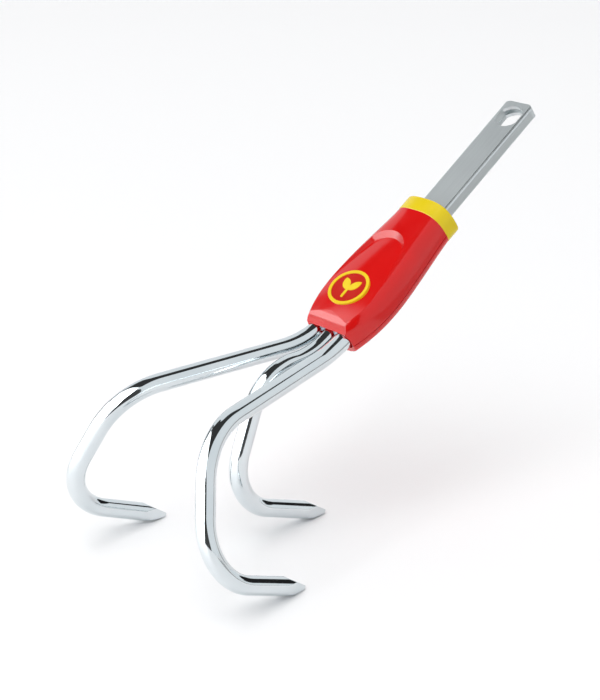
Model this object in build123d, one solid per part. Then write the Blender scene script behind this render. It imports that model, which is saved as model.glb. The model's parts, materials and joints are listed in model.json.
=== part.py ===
from build123d import *
import math
import os

# Hand cultivator head: three bent steel tines in a two-shell plastic housing, with a hollow steel tang
# that clicks into a separate handle. Millimetres.
#
# Everything is drawn in the tool's own frame first: X runs back along the tang from the front face of
# the housing, Y to the left, Z up through the badge, and the tine rods leave the housing at Z = 0.
# The finished pieces are then tilted into the working stance, with all three points on the ground.

STANCE_TILT = 33.4          # degrees that the tang rises towards the handle in the working stance

# Tine rods
ROD_RADIUS = 4.0
ROD_PITCH = 8.2             # side by side in the housing
ROD_REAR_X = 24.0           # the rods stop here, against the front end of the tang
OUTER_ROOT_X = -5.1         # corners of the outer rods' centre line, for the left tine
OUTER_CORNERS = [(-80.3, 29.0, 42.4), (-124.4, 50.2, 12.3), (-92.6, 46.3, -34.7)]
OUTER_BENDS = [47.0, 32.0, 24.0]
CENTRE_ROOT_X = -11.1       # corners of the centre rod's centre line
CENTRE_CORNERS = [(-34.5, 0.0, 16.0), (-82.6, 0.0, -16.9), (-48.9, 0.0, -63.3)]
CENTRE_BENDS = [33.0, 25.8, 22.8]
POINT_LENGTH = 14.0         # length of the ground facets
POINT_WIDTH = 2.8           # blunt end of each point
POINT_THICKNESS = 1.6
POINT_ROUNDING = 0.6
FACET_SPREAD = 0.6          # the facets start this much wider than the rod

# Tang: sheet folded into a flat box section
TANG_WIDTH = 16.2
TANG_THICKNESS = 5.6
TANG_SHEET = 1.7
TANG_CENTRE_Z = 0.7
TANG_FRONT_X = 24.2
TANG_REAR_X = 141.7
TANG_CORNER = 0.9           # outer fold radius
TANG_INNER_CORNER = 0.3
TANG_END_CORNER = 3.0       # rounding of the rear end, seen from above
FOLD_SEAM_WIDTH = 0.35      # gap where the folded sheet closes, along the right top edge
FOLD_SEAM_DEPTH = 1.3
SLOT_FRONT_X = 126.7        # latch slot: two flats joined by arcs
SLOT_REAR_X = 139.1
SLOT_WIDTH = 12.3
SLOT_ARC_RISE = 3.2

# Housing: superellipse sections, widest at the seam between the shells
HOUSING_STATIONS = [0.5, 12.0, 28.0, 45.0, 58.0, 66.5]
HOUSING_HALF_WIDTHS = [13.2, 17.2, 18.2, 16.3, 14.4, 13.4]
HOUSING_TOPS = [9.9, 11.2, 11.5, 11.4, 10.8, 10.6]
HOUSING_BOTTOMS = [-8.3, -8.3, -8.5, -8.6, -8.6, -8.5]
UPPER_POWER = 2.9
LOWER_POWER = 2.7
SECTION_POINTS = 20
SEAM_Z = -2.0
SEAM_GROOVE = 0.3
WALL = 2.0
CAVITY_TOP = 6.8            # the roof is thicker under the panel and the badge
NOSE_X = HOUSING_STATIONS[0]
HOUSING_REAR_X = HOUSING_STATIONS[-1]
SPIGOT_LENGTH = 5.0         # the shells reach this far into the collar ring
SPIGOT_STEP = 1.8
SPIGOT_WALL = 1.4
NOSE_EDGE = 0.8

# Mouth and lip at the nose
MOUTH_HALF_WIDTH = 12.75
MOUTH_TOP = 4.8
MOUTH_BOTTOM = -4.3
MOUTH_ROUNDING = 4.0
LIP_REAR_X = 4.85           # where the lip's slope would meet the panel, before rounding
LIP_ROUNDING = 7.0

# Recessed panel on top: a crowned surface that ends at the rear in an arched ramp
PANEL_CREST = (24.0, 9.85)  # x and z of its highest point
PANEL_LONG_RADIUS = 316.0
PANEL_CROSS_RADIUS = 67.0
PANEL_LOW_Z = 8.0
PANEL_HIGH_Z = 12.0         # the ramp rises at 45 degrees between these two levels
PANEL_APEX_X = 50.0
PANEL_CORNER = (46.8, 7.9)
PANEL_SIDE = (24.0, 13.8)
PANEL_FRONT = (-8.0, 17.0)
PANEL_CORNER_ROUNDING = 3.0
PANEL_SIDE_ROUNDING = 30.0
PANEL_SWEEP = 9.0           # degrees that the crowned surface reaches either side of its crest
CUT_REACH = 40.0            # cutters run this far to each side of the housing
CUT_HEIGHT = 30.0           # and up to this level

# Badge, an oval moulding sunk into the panel
BADGE_X = 20.0
BADGE_HALF_LENGTH = 9.3
BADGE_HALF_WIDTH = 10.1
BADGE_DEPTH = 1.2
BADGE_RIM_WIDTH = 1.45
BADGE_RIM_HEIGHT = 0.45
BADGE_EMBLEM_HEIGHT = 0.35
LEAF_FOOT = (-1.2, 0.0)     # left leaf, from the stem to its tip; the right one is its mirror image
LEAF_TIP = (4.2, 4.6)
LEAF_OUTER = (0.2, 3.9)
LEAF_INNER = (3.0, 1.3)
STEM_MIDDLE_X = -3.0
STEM_LENGTH = 5.2
STEM_WIDTH = 1.3
STEM_ROUNDING = 0.6
INLAY_HEIGHT = 0.1
INLAY_THICKNESS = 0.6

# Collar ring
COLLAR_LENGTH = 7.5
COLLAR_PROUD = 0.1
COLLAR_END_WALL = 2.0
COLLAR_EDGE = 0.7
FIT_GAP = 0.1

# Screws that clamp the shells on the tang, driven from below
SCREW_STATIONS = [38.0, 54.0]
SCREW_RADIUS = 1.5
SCREW_HEAD_RADIUS = 2.9
SCREW_HEAD_HEIGHT = 2.2
SCREW_LENGTH = 14.5
SCREW_RECESS = 1.0
SCREW_CROSS = (3.4, 0.8, 2.4)   # length, width and depth of the drive recess's two bars
WELL_CLEARANCE = 0.2
BOSS_RADIUS = 3.6
TANG_HOLE_RADIUS = 1.9

# Ribs inside the shells
ROD_RIBS = [10.0, 20.0]
TANG_RIBS = [29.0, 61.0]
RIB_THICKNESS = 1.8

# Weld runs
BEAD_RADIUS = 1.5
BEAD_STEP = 1.5
BEAD_RIPPLE = 0.25
VALLEY_Z = 2.7              # middle of a bead in the valley between two rods
ROD_BEAD_RUNS = [(1.5, 7.5), (14.5, 17.5)]
TANG_BEAD_INSET = 1.0       # the tang's beads stop this far from its sides
TANG_BEAD_GAP = 0.6         # and lie this far behind its front end


def superellipse_section(x, half_width, top, bottom):
    """Closed section at station x; its widest points lie on the seam."""
    points = []
    for i in range(SECTION_POINTS):
        angle = 2 * math.pi * i / SECTION_POINTS
        c, s = math.cos(angle), math.sin(angle)
        power = UPPER_POWER if s >= 0 else LOWER_POWER
        height = top - SEAM_Z if s >= 0 else SEAM_Z - bottom
        y = half_width * math.copysign(abs(c) ** (2 / power), c)
        z = SEAM_Z + height * math.copysign(abs(s) ** (2 / power), s)
        points.append((x, y, z))
    return Face(Wire(Spline(*points, periodic=True)))


def housing_body(inset=0.0):
    """The housing's outer form, or the same form drawn in by a wall thickness."""
    sections = []
    rows = zip(HOUSING_STATIONS, HOUSING_HALF_WIDTHS, HOUSING_TOPS, HOUSING_BOTTOMS)
    for x, half_width, top, bottom in rows:
        sections.append(superellipse_section(x, half_width - inset, top - inset, bottom + inset))
    return loft(sections)


def end_block(x_low, x_high, inset):
    """Straight block with the housing's rear section."""
    section = superellipse_section(x_low, HOUSING_HALF_WIDTHS[-1] - inset,
                                   HOUSING_TOPS[-1] - inset, HOUSING_BOTTOMS[-1] + inset)
    return extrude(section, x_high - x_low, dir=(1, 0, 0))


def span_box(x_range, y_range, z_range):
    """Box between two limits on each axis."""
    size = [high - low for low, high in (x_range, y_range, z_range)]
    centre = [(high + low) / 2 for low, high in (x_range, y_range, z_range)]
    return Pos(*centre) * Box(*size)


def tine_path(root, corners, bends):
    """Rod centre line from inside the housing to the point."""
    start = (ROD_REAR_X, root[1], root[2])
    return FilletPolyline(start, root, *corners, radius=bends)


def ground_point(rod, path):
    """Four ground facets that turn the end of the rod into a blunt spear point."""
    tip = path @ 1
    forward = path % 1
    side = forward.cross(Vector(0, 1, 0)).cross(forward).normalized()
    base = tip - forward * POINT_LENGTH
    wide = 2 * ROD_RADIUS + FACET_SPREAD
    wedge = loft([Plane(base, x_dir=side, z_dir=forward) * Rectangle(wide, wide),
                  Plane(tip, x_dir=side, z_dir=forward) * Rectangle(POINT_WIDTH, POINT_THICKNESS)])
    end_edges = wedge.faces().sort_by(Axis(base, forward))[-1].edges()
    wedge = fillet(end_edges, POINT_ROUNDING)
    block = Plane(base, x_dir=side, z_dir=forward) * Pos(0, 0, POINT_LENGTH) * Box(
        4 * ROD_RADIUS, 4 * ROD_RADIUS, 2 * POINT_LENGTH)
    return (rod - block) + (rod & wedge)


def tine(root, corners, bends):
    """One bent rod with its ground point."""
    path = tine_path(root, corners, bends)
    profile = Plane(path @ 0, z_dir=path % 0) * Circle(ROD_RADIUS)
    return ground_point(sweep(profile, path=path), path)


def outer_tine(side):
    """Left tine for side = 1, right tine for side = -1."""
    root = (OUTER_ROOT_X, side * ROD_PITCH, 0)
    corners = [(x, side * y, z) for x, y, z in OUTER_CORNERS]
    return tine(root, corners, OUTER_BENDS)


def latch_slot():
    """Cutter for the latch slot: two flats along the tang, joined by an arc at each end."""
    half = SLOT_WIDTH / 2
    front, rear = SLOT_FRONT_X + SLOT_ARC_RISE, SLOT_REAR_X - SLOT_ARC_RISE
    outline = [Line((front, half), (rear, half)),
               ThreePointArc((rear, half), (SLOT_REAR_X, 0), (rear, -half)),
               Line((rear, -half), (front, -half)),
               ThreePointArc((front, -half), (SLOT_FRONT_X, 0), (front, half))]
    face = make_face(outline)
    return extrude(Pos(0, 0, TANG_CENTRE_Z) * face, TANG_THICKNESS, both=True)


def tang():
    """Hollow folded bar with the latch slot, screw holes and the closing seam of the sheet."""
    length = TANG_REAR_X - TANG_FRONT_X
    outer = Rectangle(TANG_WIDTH, TANG_THICKNESS)
    outer = fillet(outer.vertices(), TANG_CORNER)
    inner = Rectangle(TANG_WIDTH - 2 * TANG_SHEET, TANG_THICKNESS - 2 * TANG_SHEET)
    inner = fillet(inner.vertices(), TANG_INNER_CORNER)
    start = Plane((TANG_FRONT_X, 0, TANG_CENTRE_Z), x_dir=(0, 1, 0), z_dir=(1, 0, 0))
    bar = extrude(start * (outer - inner), length)
    plan = Rectangle(length, TANG_WIDTH)
    plan = fillet(plan.vertices().group_by(Axis.X)[-1], TANG_END_CORNER)
    middle_x = (TANG_FRONT_X + TANG_REAR_X) / 2
    bar = bar & extrude(Pos(middle_x, 0, TANG_CENTRE_Z) * plan, TANG_THICKNESS, both=True)
    seam_y = -TANG_WIDTH / 2 + TANG_CORNER
    top = TANG_CENTRE_Z + TANG_THICKNESS / 2
    seam = span_box((TANG_FRONT_X - 1, TANG_REAR_X + 1), (seam_y, seam_y + FOLD_SEAM_WIDTH),
                    (top - FOLD_SEAM_DEPTH, top + 1))
    bar = bar - seam - latch_slot()
    for x in SCREW_STATIONS:
        bar = bar - Pos(x, 0, TANG_CENTRE_Z) * Cylinder(TANG_HOLE_RADIUS, 2 * TANG_THICKNESS)
    return bar


def panel_crest_at(x):
    """Height and lean, in radians, of the panel's middle line at station x."""
    crest_x, crest_z = PANEL_CREST
    lean = math.asin((x - crest_x) / PANEL_LONG_RADIUS)
    return crest_z - PANEL_LONG_RADIUS * (1 - math.cos(lean)), lean


def panel_outline(spread, z):
    """Arched outline of the recessed panel, spread outwards, on the level z."""
    corner_x, corner_y = PANEL_CORNER
    side_x, side_y = PANEL_SIDE
    front_x, front_y = PANEL_FRONT
    outline = [Line((front_x, -front_y), (side_x, -side_y)),
               Line((side_x, -side_y), (corner_x, -corner_y)),
               ThreePointArc((corner_x, -corner_y), (PANEL_APEX_X, 0), (corner_x, corner_y)),
               Line((corner_x, corner_y), (side_x, side_y)),
               Line((side_x, side_y), (front_x, front_y)),
               Line((front_x, front_y), (front_x, -front_y))]
    face = make_face(outline)
    face = fillet(face.vertices().filter_by(lambda v: abs(v.X - corner_x) < 0.1), PANEL_CORNER_ROUNDING)
    face = fillet(face.vertices().filter_by(lambda v: abs(v.X - side_x) < 0.1), PANEL_SIDE_ROUNDING)
    if spread:
        face = offset(face, spread, kind=Kind.INTERSECTION)
    return Pos(0, 0, z) * face


def panel_cutter():
    """What is cut away above the panel: a crowned surface below, a ramp round the arch."""
    crest_x, crest_z = PANEL_CREST
    edge_z = crest_z - PANEL_CROSS_RADIUS + math.sqrt(PANEL_CROSS_RADIUS ** 2 - CUT_REACH ** 2)
    left, right = (-CUT_REACH, edge_z), (CUT_REACH, edge_z)
    crown = ThreePointArc(left, (0, crest_z), right)
    walls = Polyline(right, (CUT_REACH, CUT_HEIGHT), (-CUT_REACH, CUT_HEIGHT), left)
    station = Plane((crest_x, 0, 0), x_dir=(0, 1, 0), z_dir=(1, 0, 0))
    across = station * make_face([crown, *walls.edges()])
    axis = Axis((crest_x, 0, crest_z - PANEL_LONG_RADIUS), (0, 1, 0))
    above = revolve(across, axis, PANEL_SWEEP) + revolve(across, axis, -PANEL_SWEEP)
    spread = PANEL_HIGH_Z - PANEL_LOW_Z
    ramp = loft([panel_outline(0, PANEL_LOW_Z), panel_outline(spread, PANEL_HIGH_Z)], ruled=True)
    return above & ramp


def lip_cutter():
    """Sloping cut across the top of the nose, rounded over into the panel, which leaves the lip."""
    corner_z, lean = panel_crest_at(LIP_REAR_X)
    low = Vector(NOSE_X, MOUTH_TOP)
    corner = Vector(LIP_REAR_X, corner_z)
    start = low - (corner - low) / 2
    end = corner + LIP_ROUNDING * Vector(math.cos(lean), -math.sin(lean))
    lip = FilletPolyline(start, corner, end, radius=LIP_ROUNDING)
    walls = Polyline(end, (end.X, CUT_HEIGHT), (start.X, CUT_HEIGHT), start)
    return extrude(Plane.XZ * make_face([*lip.edges(), *walls.edges()]), CUT_REACH, both=True)


def mouth_cutter():
    """Opening at the nose where the three rods come out."""
    width = 2 * MOUTH_HALF_WIDTH
    height = MOUTH_TOP - MOUTH_BOTTOM
    face = Rectangle(width, height)
    face = fillet(face.vertices(), MOUTH_ROUNDING)
    middle = (MOUTH_TOP + MOUTH_BOTTOM) / 2
    start = Plane((NOSE_X - 1, 0, middle), x_dir=(0, 1, 0), z_dir=(1, 0, 0))
    return extrude(start * face, WALL + 2)


def badge_place():
    """Plane on the panel under the badge."""
    z, lean = panel_crest_at(BADGE_X)
    return Plane((BADGE_X, 0, z), x_dir=(math.cos(lean), 0, -math.sin(lean)),
                 z_dir=(math.sin(lean), 0, math.cos(lean)))


def badge_oval(inset=0.0):
    """The badge's outline, or the same oval drawn in."""
    return Ellipse(BADGE_HALF_LENGTH - inset, BADGE_HALF_WIDTH - inset)


def sprout():
    """Generic emblem: a short stem with two leaves."""
    leaf = make_face([ThreePointArc(LEAF_FOOT, LEAF_OUTER, LEAF_TIP),
                      ThreePointArc(LEAF_TIP, LEAF_INNER, LEAF_FOOT)])
    stem = Pos(STEM_MIDDLE_X, 0) * RectangleRounded(STEM_LENGTH, STEM_WIDTH, STEM_ROUNDING)
    return leaf + mirror(leaf, about=Plane.XZ) + stem


def badge_base():
    """Oval plate with a raised rim and a raised emblem, one moulding."""
    place = badge_place()
    floor_z = INLAY_HEIGHT - INLAY_THICKNESS
    plate = Pos(0, 0, -BADGE_DEPTH) * extrude(badge_oval(), BADGE_DEPTH + floor_z)
    rim_face = badge_oval() - badge_oval(BADGE_RIM_WIDTH)
    rim = Pos(0, 0, floor_z) * extrude(rim_face, BADGE_RIM_HEIGHT - floor_z)
    emblem = Pos(0, 0, floor_z) * extrude(sprout(), BADGE_EMBLEM_HEIGHT - floor_z)
    return place * (plate + rim + emblem)


def badge_inlay():
    """Inlay that fills the badge between its rim and its emblem."""
    field = badge_oval(BADGE_RIM_WIDTH) - sprout()
    return badge_place() * Pos(0, 0, INLAY_HEIGHT - INLAY_THICKNESS) * extrude(field, INLAY_THICKNESS)


def screw_blank(x):
    """Place of the flat of the head of the screw at station x, and its head and shank, point up."""
    head_z = HOUSING_BOTTOMS[3] + SCREW_RECESS
    shank = Cylinder(SCREW_RADIUS, SCREW_LENGTH)
    head = Cone(SCREW_HEAD_RADIUS, SCREW_RADIUS, SCREW_HEAD_HEIGHT)
    under_head = Pos(x, 0, head_z)
    blank = Pos(0, 0, SCREW_LENGTH / 2) * shank + Pos(0, 0, SCREW_HEAD_HEIGHT / 2) * head
    return under_head, under_head * blank


def screw_at(x):
    """One screw, with the cross for its driver in the head."""
    under_head, blank = screw_blank(x)
    length, width, depth = SCREW_CROSS
    return blank - under_head * (Box(length, width, depth) + Box(width, length, depth))


def housing_screws():
    """Both screws; they are alike."""
    return [screw_at(x) for x in SCREW_STATIONS]


def screw_passage(x):
    """Hole for one screw: a well from below for its head, then the screw's own size."""
    under_head, blank = screw_blank(x)
    depth = 5 * SCREW_RECESS
    return blank + under_head * Pos(0, 0, -depth / 2) * Cylinder(SCREW_HEAD_RADIUS + WELL_CLEARANCE, depth)


def inner_supports():
    """Ribs that cradle the rods and the tang, and the screw bosses, as blocks across the cavity."""
    reach = max(HOUSING_HALF_WIDTHS)
    bosses = [Pos(x, 0, 0) * Cylinder(BOSS_RADIUS, 2 * reach) for x in SCREW_STATIONS]
    supports = bosses[0] + bosses[1]
    for x in ROD_RIBS + TANG_RIBS:
        supports = supports + span_box((x, x + RIB_THICKNESS), (-reach, reach), (-reach, reach))
    half_width = TANG_WIDTH / 2 + FIT_GAP
    half_height = TANG_THICKNESS / 2
    supports = supports - span_box((TANG_FRONT_X - 1, TANG_REAR_X), (-half_width, half_width),
                                   (TANG_CENTRE_Z - half_height, TANG_CENTRE_Z + half_height))
    lane = Rot(0, 90, 0) * Cylinder(ROD_RADIUS + FIT_GAP, ROD_REAR_X + 4)
    for y in (-ROD_PITCH, 0, ROD_PITCH):
        supports = supports - Pos(ROD_REAR_X / 2, y, 0) * lane
    between_rods = span_box((0, ROD_REAR_X), (-ROD_PITCH, ROD_PITCH), (SEAM_Z, 0))
    return supports - between_rods


def hollow():
    """Space inside the shells: the drawn-in form, less the ribs and bosses that stay standing in it."""
    room = span_box((NOSE_X + WALL, HOUSING_REAR_X + 1), (-CUT_REACH, CUT_REACH), (-CUT_REACH, CAVITY_TOP))
    return (housing_body(WALL) & room) - inner_supports()


def seam_groove():
    """Fine groove round the housing where the shells meet."""
    rows = list(zip(HOUSING_STATIONS, HOUSING_HALF_WIDTHS))
    left = [(x, half_width - SEAM_GROOVE) for x, half_width in rows]
    left[0] = (NOSE_X + SEAM_GROOVE, left[0][1])
    right = [(x, -y) for x, y in reversed(left)]
    rear, front = Line(left[-1], right[0]), Line(right[-1], left[0])
    inside = make_face([Spline(*left), rear, Spline(*right), front])
    core = extrude(Pos(0, 0, SEAM_Z) * inside, 1, both=True)
    half = SEAM_GROOVE / 2
    slab = span_box((NOSE_X - 1, HOUSING_REAR_X), (-CUT_REACH, CUT_REACH), (SEAM_Z - half, SEAM_Z + half))
    return slab - core


def housing():
    """Both shells in one piece, before they are split at the seam."""
    body = housing_body()
    body = fillet(body.faces().sort_by(Axis.X)[0].edges(), NOSE_EDGE)
    body = body - panel_cutter() - lip_cutter()
    body = body - badge_place() * Pos(0, 0, -BADGE_DEPTH) * extrude(badge_oval(), 2 * BADGE_DEPTH)
    body = body - hollow() - mouth_cutter()
    spigot = end_block(HOUSING_REAR_X, HOUSING_REAR_X + SPIGOT_LENGTH, SPIGOT_STEP)
    bore = end_block(HOUSING_REAR_X - 1, HOUSING_REAR_X + SPIGOT_LENGTH + 1, SPIGOT_STEP + SPIGOT_WALL)
    spigot = spigot - bore
    body = body + spigot
    for x in SCREW_STATIONS:
        body = body - screw_passage(x)
    return body - seam_groove()


def collar_ring():
    """Ring that slides over the rear of both shells and closes round the tang."""
    rear_x = HOUSING_REAR_X + COLLAR_LENGTH
    outer = end_block(HOUSING_REAR_X, rear_x, -COLLAR_PROUD)
    outer = fillet(outer.faces().sort_by(Axis.X)[-1].edges(), COLLAR_EDGE)
    outer = fillet(outer.faces().sort_by(Axis.X)[0].edges(), COLLAR_EDGE / 3)
    pocket = end_block(HOUSING_REAR_X - 1, rear_x - COLLAR_END_WALL, SPIGOT_STEP - FIT_GAP)
    half_width = TANG_WIDTH / 2 + FIT_GAP
    half_height = TANG_THICKNESS / 2 + FIT_GAP
    tang_hole = span_box((HOUSING_REAR_X, rear_x + 1), (-half_width, half_width),
                         (TANG_CENTRE_Z - half_height, TANG_CENTRE_Z + half_height))
    return outer - pocket - tang_hole


def weld_bead(start, end, cutters):
    """Weld run from start to end: a rippled round bead, cut back to the surfaces that it joins."""
    run = Vector(*end) - Vector(*start)
    ripples = max(2, round(run.length / BEAD_STEP))
    step = run.length / ripples
    waist = BEAD_RADIUS - BEAD_RIPPLE
    outline = [Line((0, 0), (0, waist))]
    for i in range(ripples):
        front, rear = i * step, (i + 1) * step
        outline.append(ThreePointArc((front, waist), ((front + rear) / 2, BEAD_RADIUS), (rear, waist)))
    outline.append(Line((run.length, waist), (run.length, 0)))
    outline.append(Line((run.length, 0), (0, 0)))
    bead = revolve(make_face(outline), Axis.X)
    bead = Plane(start, x_dir=run, z_dir=Vector(0, 0, 1).cross(run).cross(run)) * bead
    for cutter in cutters:
        bead = bead - cutter
    return bead


def rod_weld_beads(rods):
    """Runs in the valleys between neighbouring rods, above and below."""
    beads = []
    for y in (-ROD_PITCH / 2, ROD_PITCH / 2):
        for z in (VALLEY_Z, -VALLEY_Z):
            for front_x, rear_x in ROD_BEAD_RUNS:
                beads.append(weld_bead((front_x, y, z), (rear_x, y, z), rods))
    return beads


def tang_weld_beads(rods, bar):
    """Runs across the joint between the rods' ends and the front of the tang."""
    beads = []
    reach = TANG_WIDTH / 2 - TANG_BEAD_INSET
    x = TANG_FRONT_X + TANG_BEAD_GAP
    for z in (TANG_CENTRE_Z + TANG_THICKNESS / 2, TANG_CENTRE_Z - TANG_THICKNESS / 2):
        beads.append(weld_bead((x, -reach, z), (x, reach, z), [*rods, bar]))
    return beads


def solids_of(shape):
    """Flat list of the solids in a shape or in a list of shapes."""
    if isinstance(shape, (list, tuple)):
        return [solid for item in shape for solid in solids_of(item)]
    return list(shape.solids())


def build():
    """Every piece by node name, in the tool's own frame."""
    left, right = outer_tine(1), outer_tine(-1)
    centre = tine((CENTRE_ROOT_X, 0, 0), CENTRE_CORNERS, CENTRE_BENDS)
    rods = [left, centre, right]
    bar = tang()
    shells = housing()
    length, width = (-CUT_REACH, TANG_REAR_X), (-CUT_REACH, CUT_REACH)
    upper = shells & span_box(length, width, (SEAM_Z, CUT_REACH))
    lower = shells & span_box(length, width, (-CUT_REACH, SEAM_Z))
    return {
        "tang": bar,
        "collar_ring": collar_ring(),
        "housing_upper": upper,
        "housing_lower": lower,
        "tine_left": left,
        "tine_centre": centre,
        "tine_right": right,
        "rod_weld_beads": rod_weld_beads(rods),
        "tang_weld_beads": tang_weld_beads(rods, bar),
        "badge_base": badge_base(),
        "badge_inlay": badge_inlay(),
        "housing_screws": housing_screws(),
    }


def in_working_stance(pieces):
    """Tilt the tool so that its points stand on the ground, with the origin under its middle."""
    tilt = Rot(0, -STANCE_TILT, 0)
    turned = {name: Compound(children=[tilt * solid for solid in solids_of(piece)])
              for name, piece in pieces.items()}
    everything = Compound(children=[Compound(children=list(piece.solids())) for piece in turned.values()])
    box = everything.bounding_box()
    shift = Pos(-(box.min.X + box.max.X) / 2, -(box.min.Y + box.max.Y) / 2, -box.min.Z)
    print("shift to the ground frame:", shift.position)
    return {name: Compound(children=[shift * solid for solid in piece.solids()])
            for name, piece in turned.items()}


os.makedirs("parts", exist_ok=True)
for name, piece in in_working_stance(build()).items():
    export_step(piece, f"parts/{name}.step")
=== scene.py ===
import json
import math

import bpy
import numpy as np
from mathutils import Matrix, Vector


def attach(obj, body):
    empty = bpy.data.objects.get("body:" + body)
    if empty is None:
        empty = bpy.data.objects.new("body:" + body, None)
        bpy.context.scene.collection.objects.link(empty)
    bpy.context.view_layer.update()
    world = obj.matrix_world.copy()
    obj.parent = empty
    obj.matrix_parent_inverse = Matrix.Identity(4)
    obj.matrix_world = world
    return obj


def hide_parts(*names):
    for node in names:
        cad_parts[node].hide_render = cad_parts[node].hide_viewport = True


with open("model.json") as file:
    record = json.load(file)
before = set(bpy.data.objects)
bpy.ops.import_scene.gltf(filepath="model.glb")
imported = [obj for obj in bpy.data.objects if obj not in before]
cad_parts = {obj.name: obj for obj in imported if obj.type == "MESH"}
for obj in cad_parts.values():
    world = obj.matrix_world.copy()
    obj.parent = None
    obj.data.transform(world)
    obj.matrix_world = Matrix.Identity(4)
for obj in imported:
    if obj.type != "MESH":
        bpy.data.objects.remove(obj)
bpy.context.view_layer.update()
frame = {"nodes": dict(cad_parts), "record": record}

nodes = frame["nodes"]
mounts = {mount["name"]: mount for mount in frame["record"]["mounts"]}
scene = bpy.context.scene

# ---------------------------------------------------------------- the tool's own frame
# X runs back along the tang, Y to the left and Z up out of the badge, in millimetres. The tang's mount
# gives its place in the row frame: it lies on the tang's middle line, at the tang's end.

TANG_REAR_X = 141.7
TANG_CENTRE_Z = 0.7
BACK = Vector(mounts["tang_slide"]["axis"])
LEFT = Vector((0, 1, 0))
UP = Vector(mounts["latch_slot"]["axis"])
ORIGIN = Vector(mounts["tang_slide"]["pos_m"]) - (BACK * TANG_REAR_X + UP * TANG_CENTRE_Z) / 1000
TOOL = np.array([BACK, LEFT, UP]) / 1000


def in_row_frame(points):
    """Points in the tool's frame, in millimetres, as points in the row frame, in metres."""
    return np.asarray(points, float) @ TOOL + np.array(ORIGIN)


def turned_to_row(back, left, up):
    """A direction or distance given along the tool's axes, along the row frame's axes."""
    return BACK * back + LEFT * left + UP * up


# ---------------------------------------------------------------- materials

NOISE_LOW = 0.3              # nearly all of a noise texture lies between these two values
NOISE_HIGH = 0.7
NOISE_ROUGHNESS = 0.55


def new_material(name, **settings):
    """A material with the named Principled sockets set, its node tree and its shader."""
    material = bpy.data.materials.new(name)
    material.use_nodes = True
    tree = material.node_tree
    shader = tree.nodes["Principled BSDF"]
    for socket, value in settings.items():
        shader.inputs[socket.replace("_", " ")].default_value = value
    return material, tree, shader


def add_node(tree, kind, **settings):
    node = tree.nodes.new(kind)
    for key, value in settings.items():
        setattr(node, key, value)
    return node


def tool_coordinates(tree, stretch=(1, 1, 1)):
    """Object coordinates turned so that X runs along the tang, then multiplied by stretch."""
    place = add_node(tree, "ShaderNodeTexCoord")
    turned = add_node(tree, "ShaderNodeMapping")
    turned.inputs["Rotation"].default_value = (0, math.atan2(BACK.z, BACK.x), 0)
    stretched = add_node(tree, "ShaderNodeMapping")
    stretched.inputs["Scale"].default_value = stretch
    tree.links.new(place.outputs["Object"], turned.inputs["Vector"])
    tree.links.new(turned.outputs["Vector"], stretched.inputs["Vector"])
    return stretched.outputs["Vector"]


def noise(tree, vector, scale, detail):
    node = add_node(tree, "ShaderNodeTexNoise")
    node.inputs["Scale"].default_value = scale
    node.inputs["Detail"].default_value = detail
    node.inputs["Roughness"].default_value = NOISE_ROUGHNESS
    tree.links.new(vector, node.inputs["Vector"])
    return node.outputs["Fac"]


def spread(tree, value, low, high):
    """Maps a noise texture to low..high."""
    node = add_node(tree, "ShaderNodeMapRange")
    node.inputs["From Min"].default_value = NOISE_LOW
    node.inputs["From Max"].default_value = NOISE_HIGH
    node.inputs["To Min"].default_value = low
    node.inputs["To Max"].default_value = high
    tree.links.new(value, node.inputs["Value"])
    return node.outputs["Result"]


def blend_colours(tree, value, first, second):
    """Maps a noise texture to the colours between first and second."""
    ramp = add_node(tree, "ShaderNodeValToRGB")
    ramp.color_ramp.elements[0].position = NOISE_LOW
    ramp.color_ramp.elements[0].color = (*first, 1)
    ramp.color_ramp.elements[1].position = NOISE_HIGH
    ramp.color_ramp.elements[1].color = (*second, 1)
    tree.links.new(value, ramp.inputs["Fac"])
    return ramp.outputs["Color"]


def add_bump(tree, shader, height, strength, distance):
    bump = add_node(tree, "ShaderNodeBump")
    bump.inputs["Strength"].default_value = strength
    bump.inputs["Distance"].default_value = distance
    tree.links.new(height, bump.inputs["Height"])
    tree.links.new(bump.outputs["Normal"], shader.inputs["Normal"])


def bright_plating():
    """Mirror-bright plating on drawn bar, with faint clouding and fine drawing marks."""
    material, tree, shader = new_material("bright_plating", Metallic=1.0)
    place = tool_coordinates(tree)
    cloud = noise(tree, place, scale=60, detail=3)
    tree.links.new(spread(tree, cloud, low=0.035, high=0.09), shader.inputs["Roughness"])
    tree.links.new(blend_colours(tree, cloud, (0.655, 0.705, 0.73), (0.715, 0.755, 0.775)),
                   shader.inputs["Base Color"])
    marks = noise(tree, place, scale=900, detail=2)
    add_bump(tree, shader, marks, strength=0.008, distance=0.00004)
    return material


def satin_zinc():
    """Zinc-plated sheet: a soft even sheen with fine rolling marks along it."""
    material, tree, shader = new_material("satin_zinc", Metallic=1.0)
    cloud = noise(tree, tool_coordinates(tree), scale=45, detail=2)
    tree.links.new(spread(tree, cloud, low=0.33, high=0.35), shader.inputs["Roughness"])
    streaks = noise(tree, tool_coordinates(tree, stretch=(0.05, 1, 1)), scale=900, detail=4)
    tree.links.new(blend_colours(tree, streaks, (0.60, 0.64, 0.65), (0.64, 0.68, 0.69)),
                   shader.inputs["Base Color"])
    add_bump(tree, shader, streaks, strength=0.025, distance=0.00004)
    return material


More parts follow.
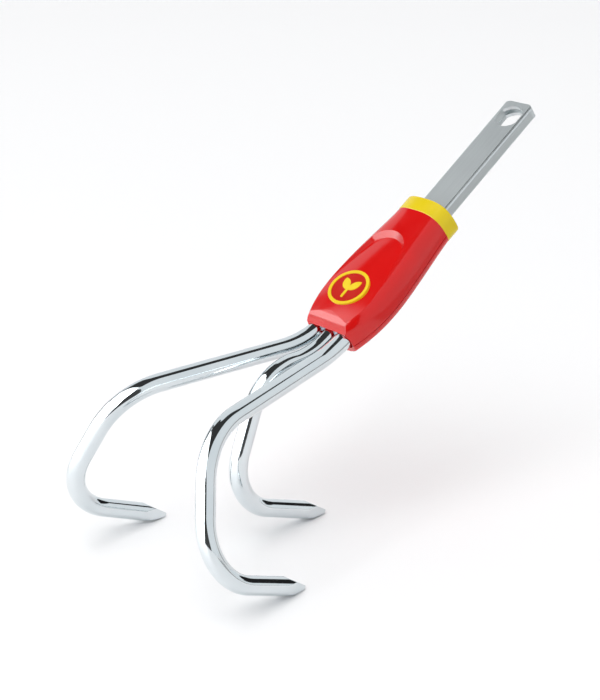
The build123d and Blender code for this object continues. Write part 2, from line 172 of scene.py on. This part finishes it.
def weld_metal():
    """Darkened, slightly spattered weld."""
    material, tree, shader = new_material("weld_metal", Metallic=1.0)
    place = tool_coordinates(tree)
    patches = noise(tree, place, scale=500, detail=5)
    tree.links.new(blend_colours(tree, patches, (0.06, 0.06, 0.09), (0.35, 0.34, 0.38)),
                   shader.inputs["Base Color"])
    tree.links.new(spread(tree, patches, low=0.25, high=0.55), shader.inputs["Roughness"])
    spatter = noise(tree, place, scale=1400, detail=4)
    add_bump(tree, shader, spatter, strength=0.5, distance=0.0002)
    return material


def moulded_plastic(name, deep, bright, roughness, texture):
    """Moulded plastic: slight colour drift, uneven gloss and the faint waviness of a moulding."""
    material, tree, shader = new_material(name, IOR=1.5)
    place = tool_coordinates(tree)
    drift = noise(tree, place, scale=35, detail=3)
    tree.links.new(blend_colours(tree, drift, deep, bright), shader.inputs["Base Color"])
    gloss = noise(tree, place, scale=140, detail=4)
    tree.links.new(spread(tree, gloss, *roughness), shader.inputs["Roughness"])
    waves = noise(tree, place, scale=700, detail=3)
    add_bump(tree, shader, waves, strength=texture, distance=0.00008)
    return material


plating = bright_plating()
zinc = satin_zinc()
weld = weld_metal()
red = moulded_plastic("red_plastic", deep=(0.63, 0.003, 0.003), bright=(0.68, 0.005, 0.004),
                      roughness=(0.10, 0.15), texture=0.04)
yellow = moulded_plastic("yellow_plastic", deep=(0.74, 0.56, 0.0), bright=(0.80, 0.61, 0.0),
                         roughness=(0.18, 0.26), texture=0.06)
badge_yellow = moulded_plastic("badge_yellow", deep=(0.84, 0.60, 0.01), bright=(0.90, 0.66, 0.02),
                               roughness=(0.16, 0.22), texture=0.05)
badge_red = moulded_plastic("badge_red", deep=(0.52, 0.012, 0.006), bright=(0.58, 0.018, 0.010),
                            roughness=(0.13, 0.19), texture=0.04)

NODE_MATERIALS = {
    "tang": zinc, "collar_ring": yellow, "housing_upper": red, "housing_lower": red,
    "rod_weld_beads": weld, "tang_weld_beads": weld, "badge_base": badge_yellow,
    "badge_inlay": badge_red, "housing_screws": zinc,
}
for name, material in NODE_MATERIALS.items():
    mesh = nodes[name].data
    mesh.materials.clear()
    mesh.materials.append(material)


# ---------------------------------------------------------------- tines
# The same centre lines as the CAD rods, as finer tubes with softened facets at their points.

ROD_RADIUS = 3.985           # a hair under the CAD rods, so that the tubes stay inside their box
ROD_PITCH = 8.2
ROD_REAR_X = 24.0
OUTER_ROOT_X = -5.1
OUTER_CORNERS = [(-80.3, 29.0, 42.4), (-124.4, 50.2, 12.3), (-92.6, 46.3, -34.7)]
OUTER_BENDS = [47.0, 32.0, 24.0]
CENTRE_ROOT_X = -11.1
CENTRE_CORNERS = [(-34.5, 0.0, 16.0), (-82.6, 0.0, -16.9), (-48.9, 0.0, -63.3)]
CENTRE_BENDS = [33.0, 25.8, 22.8]
POINT_LENGTH = 14.0
POINT_WIDTH = 2.8
POINT_THICKNESS = 1.6
POINT_ROUNDING = 0.6
FACET_CLEARANCE = 0.3        # how far outside the rod the facets' planes are where the point begins
FACET_SOFTNESS = 0.15        # rounding of the edges between facets, and between facets and rod
TIP_RADIUS = 0.02            # the least radius of a ring
LEAST_COSINE = 1e-4          # for a spoke that runs along a facet and never meets it

AROUND = 96                  # vertices round a rod
RUN_STEP = 2.0               # millimetres between rings on a straight run
ARC_STEP = math.radians(0.5)
POINT_STEP = 0.25            # millimetres between rings on a ground point
POINT_RINGS = round(POINT_LENGTH / POINT_STEP)


def unit(vector):
    return vector / np.linalg.norm(vector)


def bent_line(corners, bends):
    """Points along straight runs joined by tangent arcs, closer together on the ground point, and the
    direction of the last run."""
    corners = [np.array(c, float) for c in corners]
    line = [corners[0]]

    def run_to(end, step):
        start = line[-1]
        steps = max(1, round(np.linalg.norm(end - start) / step))
        line.extend(start + (end - start) * (i + 1) / steps for i in range(steps))

    for before, corner, after, radius in zip(corners, corners[1:], corners[2:], bends):
        to_before, to_after = unit(before - corner), unit(after - corner)
        turn = math.pi - math.acos(np.clip(to_before @ to_after, -1, 1))
        reach = radius * math.tan(turn / 2)
        centre = corner + unit(to_before + to_after) * radius / math.cos(turn / 2)
        run_to(corner + to_before * reach, RUN_STEP)
        first, last = line[-1] - centre, corner + to_after * reach - centre
        steps = math.ceil(turn / ARC_STEP)
        for i in range(1, steps + 1):
            angle = turn * i / steps
            line.append(centre + (math.sin(turn - angle) * first + math.sin(angle) * last) / math.sin(turn))
    forward = unit(corners[-1] - corners[-2])
    run_to(corners[-1] - forward * POINT_LENGTH, RUN_STEP)
    run_to(corners[-1], POINT_STEP)
    return np.array(line), forward


def soft_min(a, b):
    """The smaller of two sizes, with a rounded crossover."""
    h = np.clip(0.5 + 0.5 * (b - a) / FACET_SOFTNESS, 0, 1)
    return b + (a - b) * h - FACET_SOFTNESS * h * (1 - h)


def tip_rounding(left):
    """How far the facets are drawn in with this much of the point left before its tip."""
    if left >= POINT_ROUNDING:
        return 0.0
    return POINT_ROUNDING - math.sqrt(max(0, POINT_ROUNDING ** 2 - (POINT_ROUNDING - left) ** 2))


def facet_reach(spokes, normal, ground, tip_size):
    """How far each spoke runs to the two facets that face along normal, so far down the point."""
    share = ground / POINT_LENGTH
    half = (ROD_RADIUS + FACET_CLEARANCE) * (1 - share) + tip_size / 2 * share
    half -= tip_rounding(POINT_LENGTH - ground)
    return half / np.maximum(np.abs(spokes @ normal), LEAST_COSINE)


def tube_faces(ring_count):
    """Faces between each ring of vertices and the next, then a cap at each end."""
    faces = []
    for i in range(ring_count - 1):
        for j in range(AROUND):
            k = (j + 1) % AROUND
            faces.append((i * AROUND + j, i * AROUND + k, (i + 1) * AROUND + k, (i + 1) * AROUND + j))
    faces.append(tuple(range(AROUND - 1, -1, -1)))
    faces.append(tuple((ring_count - 1) * AROUND + j for j in range(AROUND)))
    return faces


def rod_piece(name, root, corners, bends):
    """A bent rod that ends in four ground facets."""
    start = (ROD_REAR_X, root[1], root[2])
    line, forward = bent_line([start, root, *corners], bends)
    side = unit(np.cross(np.cross(forward, (0, 1, 0)), forward))
    flat = np.cross(forward, side)
    angles = np.arange(AROUND) * 2 * math.pi / AROUND
    tangents = np.gradient(line, axis=0)
    across = unit(np.cross(tangents[0], (0, 0, 1)))
    rings = []
    for i, point in enumerate(line):
        tangent = unit(tangents[i])
        across = unit(across - tangent * (across @ tangent))
        up = np.cross(tangent, across)
        spokes = np.outer(np.cos(angles), across) + np.outer(np.sin(angles), up)
        reach = np.full(AROUND, ROD_RADIUS)
        if i >= len(line) - POINT_RINGS:
            ground = POINT_LENGTH - (line[-1] - point) @ forward
            to_side = facet_reach(spokes, side, ground, POINT_WIDTH)
            to_flat = facet_reach(spokes, flat, ground, POINT_THICKNESS)
            reach = soft_min(soft_min(to_side, to_flat), reach)
        rings.append(point + spokes * np.maximum(reach, TIP_RADIUS)[:, None])
    faces = tube_faces(len(rings))
    mesh = bpy.data.meshes.new(name)
    mesh.from_pydata(in_row_frame(np.vstack(rings)).tolist(), [], faces)
    mesh.polygons.foreach_set("use_smooth", [len(face) == 4 for face in faces])
    mesh.update()
    mesh.materials.append(plating)
    piece = bpy.data.objects.new(name, mesh)
    scene.collection.objects.link(piece)
    return piece


def finished_piece(piece, node):
    """Fixes a piece to the tool's one body, in place of a CAD node."""
    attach(piece, "root")
    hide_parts(node)


for side, node in ((1, "tine_left"), (-1, "tine_right")):
    corners = [(x, side * y, z) for x, y, z in OUTER_CORNERS]
    rod = rod_piece(node + "_rod", (OUTER_ROOT_X, side * ROD_PITCH, 0), corners, OUTER_BENDS)
    finished_piece(rod, node)
rod = rod_piece("tine_centre_rod", (CENTRE_ROOT_X, 0, 0), CENTRE_CORNERS, CENTRE_BENDS)
finished_piece(rod, "tine_centre")


# ---------------------------------------------------------------- floor, light and camera
# Metres in the row frame, apart from the camera's place, in millimetres along the tool's axes, and the
# outlines of the studio cards, in degrees.

STUDIO_CENTRE = (0, 0, 0.08)
FLOOR_REACH = 3.0
FLOOR_WHITE = (0.96, 0.96, 0.96, 1)
WORLD_REFLECTED = (0.90, 0.93, 0.95, 1)
WORLD_LIGHTING = (0.40, 0.40, 0.41, 1)

LAMP_SIZE = 4.0
LAMPS = {                    # place, then power in watts
    "fill_light": ((1.5, 2.0, 4.0), 44),
    "key_light": ((-1.5, -0.6, 4.0), 134),
}

CAMERA_RIGHT = (0.6154, -0.6557, -0.4374)
CAMERA_UP = (0.7249, 0.2529, 0.6407)
CAMERA_PLACE = (-254.66, -550.83, 496.63)
CAMERA_AZIMUTH = math.radians(-40.4)
SENSOR_WIDTH = 36.0
LENS_LENGTH = 94.92
NEAREST_SEEN = 0.05
FARTHEST_SEEN = 20

CARD_DISTANCE = 3.0
GLOW_PER_METRE = 100         # a brighter card hangs a little nearer, in front of a darker one
STUDIO_CARDS = {             # glow, then the outline that studio_card describes
    "overhead_gap": (0.045, [
        (-41, -40), (-20, -38), (-8, -22), (0, -20), (10, -24), (40, -28), (45, -17), (30, -3),
        (20, 10), (12, 18), (8, 26), (4, 34), (-3, 30), (-12, 18), (-23, -2), (-33, -22)]),
    "photographer": (0.07, [
        (-8, 48), (0, 42), (12, 52), (20, 62), (34, 77), (35, 86), (12, 94), (-28, 90),
        (-42, 80), (-30, 75), (-13, 70), (-12, 58)]),
    "dark_doorway": (0.02, [
        (46, -70), (57, -66), (70, -51), (79, -30), (84, -24), (76, -20), (62, -22), (50, -26),
        (43, -32), (43, -55)]),
    "grey_corner": (0.12, [(-78, -45), (-68, -64), (-49, -77), (-40, -55), (-45, -48), (-58, -47)]),
    "tent_seam": (0.15, [(-43, -66), (-40, -66), (-34, -38), (-38, -40)]),
    "softbox_top": (2.6, [
        (-41, -40), (-33, -22), (-23, -2), (-12, 18), (-3, 30), (-3, 42), (-50, 22), (-62, -20),
        (-50, -40)]),
    "softbox_front": (6.0, [
        (-50, 22), (-3, 42), (-6, 50), (-14, 60), (-16, 70), (-45, 82), (-68, 66), (-86, 40),
        (-96, 5), (-98, -30), (-86, -48), (-50, -40), (-62, -20)]),
}

FLAG_HEIGHT = 0.002
FLAG_GLOW = 0.5
FLAG_HUB = (0.4, -0.5)
FLAG_CORNERS = [(0.10, -0.15), (0.7, -0.15), (0.7, -0.9), (0.10, -0.9)]


def studio_floor():
    """Wide pale floor. Its far edge shows as a horizon in low views only."""
    mesh = bpy.data.meshes.new("studio_floor")
    corners = [(-FLOOR_REACH, -FLOOR_REACH, 0), (FLOOR_REACH, -FLOOR_REACH, 0),
               (FLOOR_REACH, FLOOR_REACH, 0), (-FLOOR_REACH, FLOOR_REACH, 0)]
    mesh.from_pydata(corners, [], [(0, 1, 2, 3)])
    material, _, _ = new_material("pale_floor", Roughness=0.6, Base_Color=FLOOR_WHITE)
    mesh.materials.append(material)
    floor = bpy.data.objects.new("studio_floor", mesh)
    scene.collection.objects.link(floor)


def soft_lamp(name, place, power):
    """A wide overhead lamp aimed at the tool, which doesn't show in reflections."""
    light = bpy.data.lights.new(name, "AREA")
    light.shape = "SQUARE"
    light.size = LAMP_SIZE
    light.energy = power
    lamp = bpy.data.objects.new(name, light)
    lamp.location = place
    lamp.rotation_mode = "QUATERNION"
    lamp.rotation_quaternion = (Vector(STUDIO_CENTRE) - Vector(place)).to_track_quat("-Z", "Y")
    lamp.visible_glossy = False
    scene.collection.objects.link(lamp)


def studio_world():
    """Plain pale surroundings that give less than half as much light as their reflections show."""
    world = bpy.data.worlds.new("studio")
    world.use_nodes = True
    tree = world.node_tree
    scene.world = world
    paths = add_node(tree, "ShaderNodeLightPath")
    choose = add_node(tree, "ShaderNodeMix", data_type="RGBA")
    choose.inputs["A"].default_value = WORLD_REFLECTED
    choose.inputs["B"].default_value = WORLD_LIGHTING
    tree.links.new(paths.outputs["Is Diffuse Ray"], choose.inputs["Factor"])
    tree.links.new(choose.outputs["Result"], tree.nodes["Background"].inputs["Color"])


def unseen_card(name, points, glow):
    """A card that shows only in reflections: a fan round its first point, with the rest as its outline."""
    count = len(points) - 1
    mesh = bpy.data.meshes.new(name)
    mesh.from_pydata(points, [], [(0, i + 1, (i + 1) % count + 1) for i in range(count)])
    material, _, _ = new_material(name, Roughness=1.0, Base_Color=(0, 0, 0, 1), Specular_IOR_Level=0,
                                  Emission_Color=(1, 1, 1, 1), Emission_Strength=glow)
    mesh.materials.append(material)
    card = bpy.data.objects.new(name, mesh)
    card.visible_camera = card.visible_diffuse = card.visible_shadow = False
    scene.collection.objects.link(card)


def studio_card(name, outline, glow):
    """A card hung round the tool. Its corners are degrees from the zenith: to the photographer's
    right, then towards the photographer."""
    aims = []
    for right, near in outline:
        tilt = math.radians(math.hypot(right, near))
        turn = math.atan2(right, near) + CAMERA_AZIMUTH
        aims.append((math.sin(turn) * math.sin(tilt), -math.cos(turn) * math.sin(tilt), math.cos(tilt)))
    hub = unit(np.mean(aims, axis=0))
    points = np.array([hub, *aims]) * (CARD_DISTANCE - glow / GLOW_PER_METRE) + STUDIO_CENTRE
    unseen_card(name, points.tolist(), glow)


def floor_flag():
    """A grey card just over the floor, to the photographer's right."""
    unseen_card("floor_flag", [(x, y, FLAG_HEIGHT) for x, y in (FLAG_HUB, *FLAG_CORNERS)], FLAG_GLOW)


def photo_camera():
    """Camera at the photograph's viewing angle."""
    camera = bpy.data.cameras.new("camera")
    camera.sensor_width = SENSOR_WIDTH
    camera.lens = LENS_LENGTH
    camera.clip_start, camera.clip_end = NEAREST_SEEN, FARTHEST_SEEN
    seen = bpy.data.objects.new("camera", camera)
    across = turned_to_row(*CAMERA_RIGHT)
    behind = across.cross(turned_to_row(*CAMERA_UP)).normalized()
    place = ORIGIN + turned_to_row(*CAMERA_PLACE) / 1000
    turn = Matrix((across.normalized(), behind.cross(across).normalized(), behind)).transposed()
    seen.matrix_world = Matrix.Translation(place) @ turn.to_4x4()
    scene.collection.objects.link(seen)
    scene.camera = seen


studio_floor()
studio_world()
for name, (glow, outline) in STUDIO_CARDS.items():
    studio_card(name, outline, glow)
floor_flag()
for name, (place, power) in LAMPS.items():
    soft_lamp(name, place, power)
photo_camera()
scene.view_settings.view_transform = "Standard"
